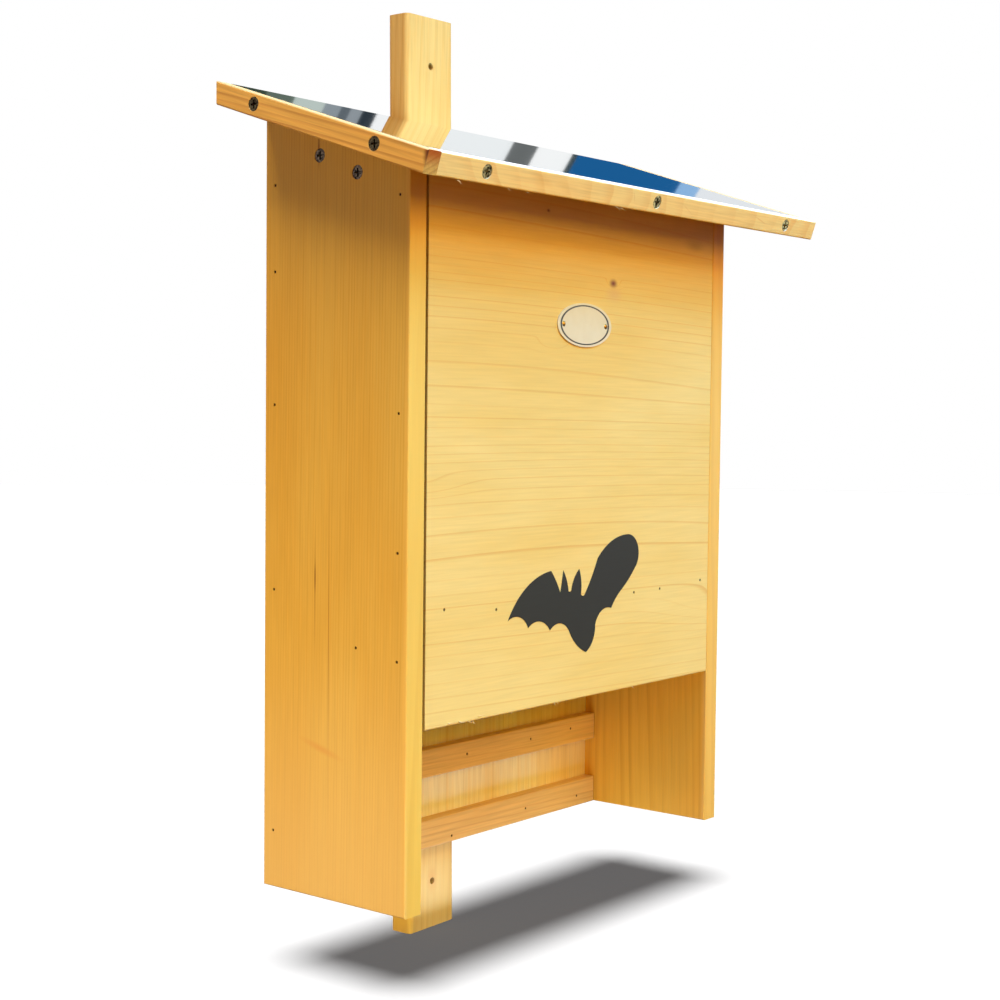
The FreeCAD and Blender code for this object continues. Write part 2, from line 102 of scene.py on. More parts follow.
def planed_wood(name, turn, axis, spacing, across, figure, stretch, colours, contrast,
                shift=(0.0, 0.0, 0.0), swells=(), marks=(), fibre=0.10, end_shade=0.72,
                late_share=0.65, painted_top_light=None):
    """Planed and stained softwood, its grain turned onto X by turn and running along axis.

    Growth rings are whole numbers of phase = (place . across) / spacing + figure * noise, where the
    noise is stretched along the grain. Each ring darkens over its last late_share and ends
    sharply. Colours are early wood where it took little stain, where it took more, and late wood.
    swells push the rings aside like a knot does: (centre, half sizes, rings).
    marks tint the surface: (centre, turn, half sizes, colour, strength). Lengths are in metres.
    The top colour is painted light: upper faces and arrises take it where light from above falls on
    them.
    """
    pale, warm, late = [srgb(code) for code in colours]
    wood = new_material(name)
    place = add(wood, "ShaderNodeTexCoord")
    point = place.outputs["Object"]
    grain = add(wood, "ShaderNodeMapping", {"Vector": point, "Rotation": turn, "Location": shift})
    grain = grain.outputs[0]

    # figure: rings wander by whole ring widths over tens of centimetres along the grain
    slow = add(wood, "ShaderNodeVectorMath", {0: grain, 1: stretch}, operation="MULTIPLY")
    wander = add(wood, "ShaderNodeTexNoise",
                 {"Vector": slow.outputs[0], "Scale": 1.0, "Detail": 1.6, "Roughness": 0.42})
    steps = [value / spacing for value in across]
    straight = add(wood, "ShaderNodeVectorMath", {0: grain, 1: steps}, operation="DOT_PRODUCT")
    phase = add(wood, "ShaderNodeMath",
                {0: wander.outputs[0], 1: figure, 2: straight.outputs["Value"]},
                operation="MULTIPLY_ADD").outputs[0]
    for centre, half, rings in swells:
        near = add(wood, "ShaderNodeMapping", {"Vector": point, "Location": centre, "Scale": half},
                   vector_type="TEXTURE")
        away = add(wood, "ShaderNodeVectorMath", {0: near.outputs[0]}, operation="LENGTH")
        push = add(wood, "ShaderNodeMapRange",
                   {"Value": away.outputs["Value"], "From Min": 1.0, "From Max": 0.0, "To Max": rings},
                   interpolation_type="SMOOTHERSTEP")
        phase = add(wood, "ShaderNodeMath", {0: phase, 1: push.outputs[0]}, operation="ADD").outputs[0]

    # late wood: dark towards the end of each ring, and no two rings equally dark
    crest = 1.0 - 0.16 * late_share
    brink = 1.0 - 0.11 * late_share
    ring = add(wood, "ShaderNodeMath", {0: phase}, operation="FRACT").outputs[0]
    number = add(wood, "ShaderNodeMath", {0: phase}, operation="FLOOR").outputs[0]
    rise = add(wood, "ShaderNodeMapRange",
               {"Value": ring, "From Min": 1.0 - late_share, "From Max": crest},
               interpolation_type="SMOOTHSTEP").outputs[0]
    stop = add(wood, "ShaderNodeMapRange", {"Value": ring, "From Min": 1.0, "From Max": brink},
               interpolation_type="SMOOTHSTEP").outputs[0]
    line = add(wood, "ShaderNodeMath", {0: rise, 1: stop}, operation="MULTIPLY").outputs[0]
    year = add(wood, "ShaderNodeTexWhiteNoise", {"W": number}, noise_dimensions="1D").outputs[0]
    year = add(wood, "ShaderNodeMapRange", {"Value": year, "To Min": 0.2, "To Max": 1.0}).outputs[0]
    line = add(wood, "ShaderNodeMath", {0: line, 1: year}, operation="MULTIPLY").outputs[0]
    line = add(wood, "ShaderNodeMath", {0: line, 1: contrast}, operation="MULTIPLY").outputs[0]

    # stain: it takes unevenly over a hand's width, and fibre by fibre at about 1 mm
    broad = add(wood, "ShaderNodeVectorMath", {0: grain, 1: (5.0, 22.0, 22.0)}, operation="MULTIPLY")
    broad = add(wood, "ShaderNodeTexNoise",
                {"Vector": broad.outputs[0], "Scale": 1.0, "Detail": 3.0}).outputs[0]
    broad = add(wood, "ShaderNodeMapRange",
                {"Value": broad, "From Min": 0.35, "From Max": 0.65}).outputs[0]
    fine = add(wood, "ShaderNodeVectorMath", {0: grain, 1: (30.0, 900.0, 900.0)}, operation="MULTIPLY")
    fine = add(wood, "ShaderNodeTexNoise",
               {"Vector": fine.outputs[0], "Scale": 1.0, "Detail": 2.0}).outputs[0]
    shade = add(wood, "ShaderNodeMapRange",
                {"Value": fine, "From Min": 0.25, "From Max": 0.75,
                 "To Min": 1.0 - fibre, "To Max": 1.0 + fibre}).outputs[0]
    colour = add(wood, "ShaderNodeMix", {0: broad, 6: pale, 7: warm}, data_type="RGBA").outputs[2]
    colour = add(wood, "ShaderNodeMix", {0: line, 6: colour, 7: late}, data_type="RGBA").outputs[2]
    colour = add(wood, "ShaderNodeMix", {0: 1.0, 6: colour, 7: shade},
                 data_type="RGBA", blend_type="MULTIPLY").outputs[2]
    for centre, mark_turn, half, code, strength in marks:
        near = add(wood, "ShaderNodeMapping",
                   {"Vector": point, "Location": centre, "Rotation": mark_turn, "Scale": half},
                   vector_type="TEXTURE")
        away = add(wood, "ShaderNodeVectorMath", {0: near.outputs[0]}, operation="LENGTH")
        cover = add(wood, "ShaderNodeMapRange",
                    {"Value": away.outputs["Value"], "From Min": 1.0, "From Max": 0.0,
                     "To Max": strength}, interpolation_type="SMOOTHSTEP").outputs[0]
        colour = add(wood, "ShaderNodeMix", {0: cover, 6: colour, 7: srgb(code)},
                     data_type="RGBA").outputs[2]

    # painted light: faces that look up take the top colour, for the light from above, up to a white
    # highlight
    if painted_top_light:
        facing = add(wood, "ShaderNodeSeparateXYZ", {0: place.outputs["Normal"]}).outputs["Z"]
        bare = add(wood, "ShaderNodeMapRange", {"Value": facing, "From Min": 0.15, "From Max": 0.60},
                   interpolation_type="SMOOTHSTEP").outputs[0]
        colour = add(wood, "ShaderNodeMix", {0: bare, 6: colour, 7: srgb(painted_top_light)},
                     data_type="RGBA").outputs[2]

    # sawn ends drink more stain and are rougher
    end = add(wood, "ShaderNodeVectorMath", {0: place.outputs["Normal"], 1: axis},
              operation="DOT_PRODUCT").outputs["Value"]
    end = add(wood, "ShaderNodeMath", {0: end}, operation="ABSOLUTE").outputs[0]
    end = add(wood, "ShaderNodeMapRange", {"Value": end, "From Min": 0.75, "From Max": 0.9},
              interpolation_type="SMOOTHSTEP").outputs[0]
    darker = add(wood, "ShaderNodeMapRange",
                 {"Value": end, "To Min": 1.0, "To Max": end_shade}).outputs[0]
    colour = add(wood, "ShaderNodeMix", {0: 1.0, 6: colour, 7: darker},
                 data_type="RGBA", blend_type="MULTIPLY").outputs[2]
    rough = add(wood, "ShaderNodeMapRange", {"Value": end, "To Min": 0.5, "To Max": 0.75}).outputs[0]

    # the plane leaves late wood and fibres standing proud by a fraction of a millimetre
    height = add(wood, "ShaderNodeMath", {0: line, 1: 0.4, 2: fine},
                 operation="MULTIPLY_ADD").outputs[0]
    bump = add(wood, "ShaderNodeBump", {"Height": height, "Strength": 0.25, "Distance": 0.0002})
    surface = add(wood, "ShaderNodeBsdfPrincipled",
                  {"Base Color": colour, "Roughness": rough, "Normal": bump.outputs[0],
                   "IOR": 1.45, "Specular IOR Level": 0.35})
    add(wood, "ShaderNodeOutputMaterial", {"Surface": surface.outputs[0]})
    return wood


left_x = -0.1294    # outer face of the left side panel
left_marks = [
    ((left_x, -0.0520, -0.283), NO_TURN, (0.003, 0.0008, 0.012), "#6E3A0C", 0.9),    # dark streak
    ((left_x, -0.0520, -0.290), NO_TURN, (0.003, 0.0006, 0.045), "#A8681C", 0.7),    # its ends
    ((left_x, -0.0618, -0.315), NO_TURN, (0.003, 0.0006, 0.110), "#B4741F", 0.75),    # dark ring
    ((left_x, -0.0570, -0.371), (math.radians(15), 0, 0), (0.003, 0.020, 0.0030), "#DE8F2C", 0.5),
    ((left_x, -0.0532, -0.066), NO_TURN, (0.003, 0.0008, 0.012), "#7A2E0C", 0.9),    # by a screw
    # painted light: the side's lower part is lightened for the light thrown up from the floor
    ((left_x, -0.0600, -0.460), NO_TURN, (0.003, 0.3000, 0.160), "#F6DA9A", 0.55),    # paler foot
    # painted light: the front edge is lightened where it faces the lamps in front
    ((-0.1244, -0.1150, -0.250), NO_TURN, (0.030, 0.0040, 0.800), "#F6CE6C", 0.5),    # front edge
]
wear("side_panel_left", planed_wood(
    "honey stained spruce, left side", **UPRIGHT_GRAIN, spacing=0.0019, across=(0.012, 1.0, 0.15),
    figure=2.2, stretch=(1.6, 9.0, 9.0), colours=("#EBCA62", "#E5BC4F", "#D3A136"), contrast=0.4,
    marks=left_marks, fibre=0.05))

# painted light: the front edge is lightened where it faces the lamps in front
right_marks = [((0.1545, -0.1150, -0.25), NO_TURN, (0.020, 0.0045, 0.8), "#F2CE80", 0.6)]
wear("side_panel_right", planed_wood(
    "honey stained spruce, right side", **UPRIGHT_GRAIN, spacing=0.0030, across=(0.0, 0.55, 0.3),
    figure=9.0, stretch=(2.4, 13.0, 13.0), colours=("#F6BF42", "#EEAF34", "#D5921F"), contrast=0.5,
    shift=(0.3, 0.13, 0.0), marks=right_marks, fibre=0.05))

# Front panel: one wide planed spruce board with level grain, cut nearly flat to the rings, so
# they lie wide apart and open into arches. Honey stained, paler than the sides, nailed between
# them. It gives a calm pale face with thin level lines and one pin knot.

front_y = -0.1147    # the board's outer face
front_swells = [
    ((0.016, front_y, -0.245), (0.6, 0.3, 0.055), -3.0),    # close rings above, wide below
    ((0.016, front_y, -0.152), (0.6, 0.3, 0.050), -2.6),
    ((0.016, front_y, -0.072), (0.6, 0.3, 0.045), -1.8),
    ((-0.012, front_y, -0.1612), (0.026, 0.03, 0.008), 0.9),    # small eye by the plate
    ((-0.125, front_y, -0.2350), (0.070, 0.03, 0.012), 1.1),    # arch from the left edge
    ((0.195, front_y, -0.3160), (0.155, 0.03, 0.024), 2.0),     # arches from the right edge
    ((0.0432, front_y, -0.1258), (0.014, 0.03, 0.006), 1.2),    # round the pin knot
]
front_marks = [
    ((0.0432, front_y, -0.1250), NO_TURN, (0.0052, 0.006, 0.0034), "#7A3840", 1.0),    # pin knot
    ((0.0438, front_y, -0.1310), NO_TURN, (0.0110, 0.006, 0.0065), "#E6BE90", 0.55),    # below it
    ((-0.0180, front_y, -0.0900), NO_TURN, (0.0022, 0.006, 0.0014), "#8A5020", 0.8),    # speck
    ((0.1280, front_y, -0.0970), NO_TURN, (0.0150, 0.006, 0.0050), "#A88A50", 0.35),    # smear
]
wear("front_panel", planed_wood(
    "honey stained spruce, front", **LEVEL_GRAIN, spacing=0.0062, across=(0.02, 0.3, 1.0),
    figure=3.4, stretch=(0.9, 12.0, 12.0), colours=("#F0D68C", "#ECCB78", "#DC9E48"), contrast=0.5,
    swells=front_swells, marks=front_marks, fibre=0.04, late_share=0.16))

# Back panel: spruce with upright grain, less even than the front, in pale and orange stripes.
# Its outer face is more evenly stained, in one light orange tan.

outer_marks = [((0.0156, -0.0130, -0.25), NO_TURN, (0.9, 0.006, 0.9), "#E6BC68", 0.9)]
wear("back_panel", planed_wood(
    "honey stained spruce, back", **UPRIGHT_GRAIN, spacing=0.0065, across=(0.0, 0.3, 1.0),
    figure=6.0, stretch=(1.5, 16.0, 22.0), colours=("#F0ECDA", "#E9D09B", "#D6B476"),
    contrast=0.28, shift=(0.7, 0.0, 0.4), marks=outer_marks))

# Landing battens: two planed pine strips nailed across the back panel for the bats to cling to.
# Pinkish stain, reddish growth lines along them.

battens = [
    ("landing_batten_lower", 0.21, ("#DCB470", "#D7A75E", "#BE8349")),
    ("landing_batten_upper", 0.64, ("#E8C780", "#E3B96D", "#C89154")),
]
for batten, slip, batten_colours in battens:
    wear(batten, planed_wood(
        "pink stained pine, " + batten, **LEVEL_GRAIN, spacing=0.0034, across=(0.03, 0.5, 1.0),
        figure=5.0, stretch=(2.2, 16.0, 20.0), colours=batten_colours, contrast=0.42,
        shift=(slip, slip, 0.0), late_share=0.4))

# Splinters: torn fibres that the saw left hanging on the lower edges of the front panel and of the
# front roof strip. Pale bare wood, a few millimetres long and finer than a match.


def mesh_piece(name, points, faces, material):
    """A new object at the origin, with one material."""
    mesh = bpy.data.meshes.new(name)
    mesh.from_pydata(points, [], faces)
    mesh.materials.append(material)
    piece = bpy.data.objects.new(name, mesh)
    bpy.context.scene.collection.objects.link(piece)
    return piece


def slivers(name, rows, material):
    """Thin bent spindles: rows of (start, end, sag, half thickness), all in metres.

    At the share t of its length, a spindle's middle line is start + (end - start) t
    - (0, 0, 4 sag t (1 - t)), and its half thickness is half (1 - 0.95 t).
    """
    share = np.array([0.0, 0.35, 0.7, 1.0])[:, None]
    corners = np.array([(0, -1, -1), (0, 1, -1), (0, 1, 1), (0, -1, 1)])
    sides = len(corners)
    points, faces = [], []
    for start, end, sag, half in rows:
        first = len(points)
        middle = np.array(start) + share * (np.array(end) - np.array(start))
        middle[:, 2:] -= 4.0 * sag * share * (1.0 - share)
        reach = half * (1.0 - 0.95 * share)
        rings = middle[:, None, :] + reach[:, :, None] * corners
        points.extend(rings.reshape(-1, 3).tolist())
        last = len(points) - sides
        for ring_start in range(first, last, sides):
            for side in range(sides):
                near, far = ring_start + side, ring_start + (side + 1) % sides
                faces.append((near, far, far + sides, near + sides))
        faces.append((first + 3, first + 2, first + 1, first))
        faces.append((last, last + 1, last + 2, last + 3))
    piece = mesh_piece(name, points, faces, material)
    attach(piece, "root")


torn_wood = new_material("torn bare spruce")
torn_shine = add(torn_wood, "ShaderNodeBsdfPrincipled",
                 {"Base Color": srgb("#F4DFAC"), "Roughness": 0.7})
add(torn_wood, "ShaderNodeOutputMaterial", {"Surface": torn_shine.outputs[0]})
panel_face = -0.1150    # just proud of the front panel
slivers("front_panel_splinters", [
    ((-0.0975, panel_face, -0.3552), (-0.0930, panel_face, -0.3556), -0.0002, 0.00030),
    ((-0.0890, panel_face, -0.3553), (-0.0830, panel_face, -0.3562), 0.0002, 0.00030),
    ((-0.0815, panel_face, -0.3562), (-0.0765, panel_face, -0.3580), -0.0002, 0.00020),
    ((-0.0780, panel_face, -0.3566), (-0.0755, panel_face, -0.3585), 0.0, 0.00022),
    ((-0.0735, panel_face, -0.3545), (-0.0690, panel_face, -0.3543), 0.0001, 0.00020),
    ((-0.0460, panel_face, -0.3562), (-0.0440, panel_face, -0.3576), 0.0, 0.00022),
    ((-0.0080, panel_face, -0.3560), (-0.0060, panel_face, -0.3580), 0.0, 0.00022),
    ((-0.0050, panel_face, -0.3560), (-0.0035, panel_face, -0.3574), 0.0, 0.00020),
    ((0.0670, panel_face, -0.3556), (0.0695, panel_face, -0.3570), 0.0, 0.00020),
], torn_wood)
strip_edge = -0.1559    # just inside the front strip's face
fibre_half = 0.00012
slivers("strip_splinters", [
    ((-0.1425, strip_edge, -0.0906), (-0.1385, strip_edge, -0.0922), 0.0, fibre_half),
    ((-0.1415, strip_edge, -0.0906), (-0.1400, strip_edge, -0.0924), 0.0, fibre_half),
    ((-0.0150, strip_edge, -0.0900), (-0.0090, strip_edge, -0.0926), -0.0003, fibre_half),
    ((-0.0100, strip_edge, -0.0904), (-0.0050, strip_edge, -0.0918), 0.0, fibre_half),
    ((-0.1050, strip_edge, -0.0905), (-0.1020, strip_edge, -0.0914), 0.0, fibre_half),
    ((-0.0900, strip_edge, -0.0905), (-0.0880, strip_edge, -0.0912), 0.0, fibre_half),
], torn_wood)

# Sloping floor, roof cleats and roof board: plain planed spruce boards, which show from below if
# at all. One tan wood with soft lines 3.6 mm apart does for them.

inner_wood = planed_wood(
    "plain planed spruce", **LEVEL_GRAIN, spacing=0.0036, across=(0.02, 0.4, 1.0), figure=6.0,
    stretch=(1.6, 14.0, 14.0), colours=("#E2B673", "#D9A55C", "#BC8238"), contrast=0.6,
    shift=(0.1, 0.5, 0.2))
for hidden in ("sloping_floor", "roof_cleat_left", "roof_cleat_right", "roof_board"):
    wear(hidden, inner_wood)

# Wall rail: a pale spruce batten with rounded arrises, screwed up the back of the box. Stain ran
# from its lower hole. Its foot, below the box, is painted paler: painted light out of the box's shade.

rail_marks = [
    ((0.0074, -0.0150, -0.4745), NO_TURN, (0.0060, 0.004, 0.0115), "#C27414", 0.85),    # lower hole
    ((0.0012, -0.0150, 0.0000), NO_TURN, (0.0035, 0.004, 0.0035), "#C98A30", 0.5),    # upper hole
    # painted light on the foot below the box, out of the box's shade
    ((-0.0130, -0.0075, -0.4920), NO_TURN, (0.0060, 0.030, 0.030), "#FFDA5C", 0.9),    # foot, side
    ((0.0074, -0.0150, -0.4800), NO_TURN, (0.0300, 0.010, 0.040), "#E2CF94", 0.55),    # foot, front
]
wear("mounting_rail", planed_wood(
    "pale planed spruce, rail", **UPRIGHT_GRAIN, spacing=0.0040, across=(0.02, 0.7, 0.7),
    figure=4.0, stretch=(2.5, 16.0, 16.0), colours=("#D6B872", "#CFAA5F", "#C29245"),
    contrast=0.45, shift=(0.5, 0.2, 0.3), marks=rail_marks))

# Roof strips: sawn pine strips screwed round the roof board. The left and right ones run up the
# slope, and the front one lies between the left one's end and the roof's right corner. Their upper
# faces get painted light from above: a dull tan at the sides and a nearly white highlight in front.

pitch = math.radians(18.0)
SLOPE_GRAIN = {"turn": (-pitch, 0.0, math.radians(-90)),
               "axis": (0.0, math.cos(pitch), math.sin(pitch))}
strip_y = -0.1563    # front end of the left strip, 0.2 mm in front of the front strip's face
strip_end_marks = [    # they reach the left strip's end alone
    ((-0.1588, strip_y, -0.0820), NO_TURN, (0.0300, 0.003, 0.080), "#CB6408", 1.0),    # sawn end
    ((-0.1637, strip_y, -0.0820), NO_TURN, (0.0012, 0.004, 0.010), "#4A2408", 0.95),    # chipped
]
for strip, slip in (("roof_strip_left", 0.0), ("roof_strip_right", 0.4)):
    wear(strip, planed_wood(
        "stained pine, " + strip, **SLOPE_GRAIN, spacing=0.0031, across=(0.03, 0.5, 1.0),
        figure=3.5, stretch=(2.4, 20.0, 20.0), colours=("#FCD980", "#F2C76C", "#C8904A"),
        contrast=0.7, shift=(slip, 0.0, slip), marks=strip_end_marks, fibre=0.14,
        painted_top_light="#DCC08A"))

# reddish rings across the front strip at a slant: x, z, degrees off level, half length, strength
slants = [(0.0600, -0.0860, 21, 0.013, 0.6), (0.1380, -0.0842, 13, 0.013, 0.6),
          (0.0050, -0.0850, 60, 0.007, 0.5)]
front_strip_marks = [
    ((x, strip_y, z), (0, math.radians(angle), 0), (half_length, 0.003, 0.0007), "#C46A30", strength)
    for x, z, angle, half_length, strength in slants]
front_strip_marks.append(((-0.0710, strip_y, -0.0860), (0, math.radians(20), 0),
                          (0.013, 0.003, 0.0045), "#E39A3A", 0.6))
wear("roof_strip_front", planed_wood(
    "stained pine, front strip", **LEVEL_GRAIN, spacing=0.0150, across=(0.8, 0.4, 0.6), figure=3.0,
    stretch=(9.0, 30.0, 30.0), colours=("#FBE8A6", "#FBD991", "#E9B163"), contrast=0.4,
    marks=front_strip_marks, painted_top_light="#FFFFFF"))

# Roof sheet: a thin aluminium sheet rolled to a mirror, folded down over the roof board behind
# the strips. It shows what stands round it in long streaks, blurred a little across the rolling
# lines, which are about 6 mm wide and 250 mm long.

sheet = new_material("mirror rolled aluminium")
sheet_place = add(sheet, "ShaderNodeTexCoord").outputs["Object"]
roll = add(sheet, "ShaderNodeVectorMath", {0: sheet_place, 1: (4.0, 160.0, 160.0)},
           operation="MULTIPLY")
roll = add(sheet, "ShaderNodeTexNoise", {"Vector": roll.outputs[0], "Scale": 1.0, "Detail": 3.0})
sheet_bump = add(sheet, "ShaderNodeBump",
                 {"Height": roll.outputs[0], "Strength": 0.02, "Distance": 0.0002})
sheet_shine = add(sheet, "ShaderNodeBsdfPrincipled",
                  {"Base Color": srgb("#EDEFF1"), "Metallic": 1.0, "Roughness": 0.04,
                   "Normal": sheet_bump.outputs[0]})
add(sheet, "ShaderNodeOutputMaterial", {"Surface": sheet_shine.outputs[0]})
wear("roof_sheet", sheet)

# Screws, brads and plate nails: yellow passivated countersunk screws, bright steel brads gone
# dark in the stain, and two small brass plated nails. Blotches of about 1 mm break their shine.


def fastener_metal(name, code, dark, rough, grain, painted_shade_left=False):
    """Metal with darker blotches: colour mixes from code to dark by noise at the given grain.

    The left option is painted shade: it darkens the heads on the box's left side, for the dark they
    reflect there.
    """
    metal = new_material(name)
    where = add(metal, "ShaderNodeTexCoord").outputs["Object"]
    blotch = add(metal, "ShaderNodeTexNoise", {"Vector": where, "Scale": grain, "Detail": 3.0})
    blotch = add(metal, "ShaderNodeMapRange",
                 {"Value": blotch.outputs[0], "From Min": 0.38, "From Max": 0.62}).outputs[0]
    tone = add(metal, "ShaderNodeMix", {0: blotch, 6: srgb(code), 7: srgb(dark)},
               data_type="RGBA").outputs[2]
    # painted shade: heads on the box's left side darkened for the dark that they reflect
    if painted_shade_left:
        across = add(metal, "ShaderNodeSeparateXYZ", {0: where}).outputs["X"]
        left_shade = add(metal, "ShaderNodeMapRange",
                   {"Value": across, "From Min": -0.150, "From Max": -0.158,
                    "To Max": 0.82}).outputs[0]
        tone = add(metal, "ShaderNodeMix", {0: left_shade, 6: tone, 7: srgb("#2A1A10")},
                   data_type="RGBA").outputs[2]
    shine = add(metal, "ShaderNodeBsdfPrincipled",
                {"Base Color": tone, "Metallic": 1.0, "Roughness": rough})
    add(metal, "ShaderNodeOutputMaterial", {"Surface": shine.outputs[0]})
    return metal


screw_metal = fastener_metal("yellow passivated zinc", "#B8AC80", "#241E12", rough=0.32,
                             grain=900.0, painted_shade_left=True)
for group in ("strip_screws", "roof_board_screws", "rail_screws"):
    wear(group, screw_metal)
# painted shade: the cleat screws' zinc is darkened for the dark that their heads reflect
wear("cleat_screws", fastener_metal("zinc darkened as painted shade", "#6A5A4C", "#120C0C", rough=0.3,
                                    grain=900.0))
brad_metal = fastener_metal("steel wire, stained over", "#4A3420", "#2A1A0C", rough=0.5, grain=900.0)
for group in ("front_panel_brads", "back_panel_brads", "floor_brads", "batten_brads"):
    wear(group, brad_metal)
wear("plate_nails", fastener_metal("brass plated nail", "#B98B3C", "#5A3C18", rough=0.3,
                                   grain=700.0))

# Oval plate: thin pressed metal lacquered cream, with a dark line printed just inside its rim and
# the rest of its face left bare. The lacquer yellowed in faint clouds of about 8 mm.

low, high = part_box("name_plate")
plate_middle = (low + high) / 2
plate_half = (high - low) / 2
enamel = new_material("cream lacquer on pressed metal")
plate_place = add(enamel, "ShaderNodeTexCoord").outputs["Object"]
oval = add(enamel, "ShaderNodeMapping",
           {"Vector": plate_place, "Location": plate_middle,
            "Scale": (plate_half.x, 1.0, plate_half.z)}, vector_type="TEXTURE").outputs[0]
oval = add(enamel, "ShaderNodeVectorMath", {0: oval, 1: (1.0, 0.0, 1.0)},
           operation="MULTIPLY").outputs[0]
oval = add(enamel, "ShaderNodeVectorMath", {0: oval}, operation="LENGTH").outputs["Value"]
ring_in = add(enamel, "ShaderNodeMapRange",
              {"Value": oval, "From Min": 0.845, "From Max": 0.86}).outputs[0]
ring_out = add(enamel, "ShaderNodeMapRange",
               {"Value": oval, "From Min": 0.92, "From Max": 0.905}).outputs[0]
ring_line = add(enamel, "ShaderNodeMath", {0: ring_in, 1: ring_out}, operation="MULTIPLY").outputs[0]
age = add(enamel, "ShaderNodeTexNoise",
          {"Vector": plate_place, "Scale": 120.0, "Detail": 4.0}).outputs[0]
cream = add(enamel, "ShaderNodeMix", {0: age, 6: srgb("#ECE5D0"), 7: srgb("#E2D8BD")},
            data_type="RGBA").outputs[2]
cream = add(enamel, "ShaderNodeMix", {0: ring_line, 6: cream, 7: srgb("#26221A")},
            data_type="RGBA").outputs[2]
enamel_shine = add(enamel, "ShaderNodeBsdfPrincipled",
                   {"Base Color": cream, "Roughness": 0.35, "IOR": 1.5})
add(enamel, "ShaderNodeOutputMaterial", {"Surface": enamel_shine.outputs[0]})
wear("name_plate", enamel)

# Printed bat: flat black ink screened on the front panel. It soaked a little into the grain, so
# its black is faintly streaked along the level fibres.

ink = new_material("flat black screen ink")
ink_place = add(ink, "ShaderNodeTexCoord").outputs["Object"]
soak = add(ink, "ShaderNodeVectorMath", {0: ink_place, 1: (60.0, 400.0, 700.0)},
           operation="MULTIPLY")
soak = add(ink, "ShaderNodeTexNoise",
           {"Vector": soak.outputs[0], "Scale": 1.0, "Detail": 3.0}).outputs[0]
ink_tone = add(ink, "ShaderNodeMix", {0: soak, 6: srgb("#0D1314"), 7: srgb("#161C1D")},
               data_type="RGBA").outputs[2]
ink_shine = add(ink, "ShaderNodeBsdfPrincipled", {"Base Color": ink_tone, "Roughness": 0.6})
add(ink, "ShaderNodeOutputMaterial", {"Surface": ink_shine.outputs[0]})
wear("printed_bat", ink)

# Studio: a white surround that only the camera sees, and upright strips of shelf, wall and curtain
# and a pale ceiling that show in reflections alone, above all in the roof sheet.


def glow(name, code):
    """A surface that shines with one colour."""
    lit = new_material(name)
    shine = add(lit, "ShaderNodeEmission", {"Color": srgb(code), "Strength": 1.0})
    add(lit, "ShaderNodeOutputMaterial", {"Surface": shine.outputs[0]})
    return lit


def arc_wall(name, radius, start, stop, low_z, high_z, material):
    """Upright piece of cylinder about Z, from one bearing to another: (r sin a, r cos a, z)."""
    degrees_a_face = 3
    count = max(2, int(abs(stop - start) / degrees_a_face) + 2)
    bearing = np.radians(np.linspace(start, stop, count))
    rows = [np.stack([radius * np.sin(bearing), radius * np.cos(bearing), np.full(count, z)], 1)
            for z in (low_z, high_z)]
    first = np.arange(count - 1)
    faces = np.stack([first, first + 1, first + 1 + count, first + count], 1)
    wall = mesh_piece(name, np.concatenate(rows).tolist(), faces.tolist(), material)
    return wall


def level_card(name, low_x, high_x, low_y, high_y, z, material):
    """Flat card facing up, as a piece of the studio."""
    corners = [(low_x, low_y, z), (high_x, low_y, z), (high_x, high_y, z), (low_x, high_y, z)]
    card = mesh_piece(name, corners, [(0, 1, 2, 3)], material)
    return card


def seen_by(stage_piece, camera=False, glossy=False, shadow=False):
    """Choose which rays meet a piece of the studio."""
    stage_piece.visible_camera = camera
    stage_piece.visible_glossy = glossy
    stage_piece.visible_shadow = shadow
    stage_piece.visible_diffuse = False
    stage_piece.visible_transmission = camera
    stage_piece.visible_volume_scatter = False


surround = arc_wall("white_surround", 6.0, -180, 180, -3.0, 6.0, glow("white paper", "#FFFFFF"))
seen_by(surround, camera=True)

room_radius = 3.0
room_floor, room_ceiling = -0.6, 2.4
bands = [  # bearing from +Y towards +X where each ends, and its colour
    (41.0, "#FFFFFF"), (43.6, "#39463A"), (44.8, "#5E6C62"), (46.1, "#B9C6C0"), (46.8, "#8A949A"),
    (47.2, "#5C656C"), (47.7, "#8E969C"), (48.3, "#2A343C"), (51.4, "#F4F6F7"), (54.2, "#EDF1F2"),
    (55.25, "#666A6A"), (56.72, "#F6F8F8"), (56.95, "#3C4A4C"), (61.45, "#1B5C94"),
    (62.3, "#8CB6E0"), (70.0, "#E4E8EC"), (180.0, "#FFFFFF")]
start = -180.0
for index, (stop, code) in enumerate(bands, start=1):
    band = arc_wall("studio_band_%02d" % index, room_radius, start, stop, room_floor, room_ceiling,
                    glow("studio band %02d" % index, code))
    seen_by(band, glossy=True)
    start = stop
sky = level_card("studio_sky", -3.0, 1.0, -3.0, 1.0, room_ceiling, glow("pale ceiling", "#E6EAEE"))
seen_by(sky, glossy=True)

# Floor: it glows weakly, so that its shade stays mid grey. The photo's shadow is one soft oblong,
# which a flag held above the floor throws, and the box itself throws none.


def linked_set(name, members, left_out=False):
    """Collection for light linking that holds the members, or everything except them."""
    group = bpy.data.collections.new(name)
    for index, member in enumerate(members):
        group.objects.link(member)
        if left_out:
            group.collection_objects[index].light_linking.link_state = "EXCLUDE"
    return group


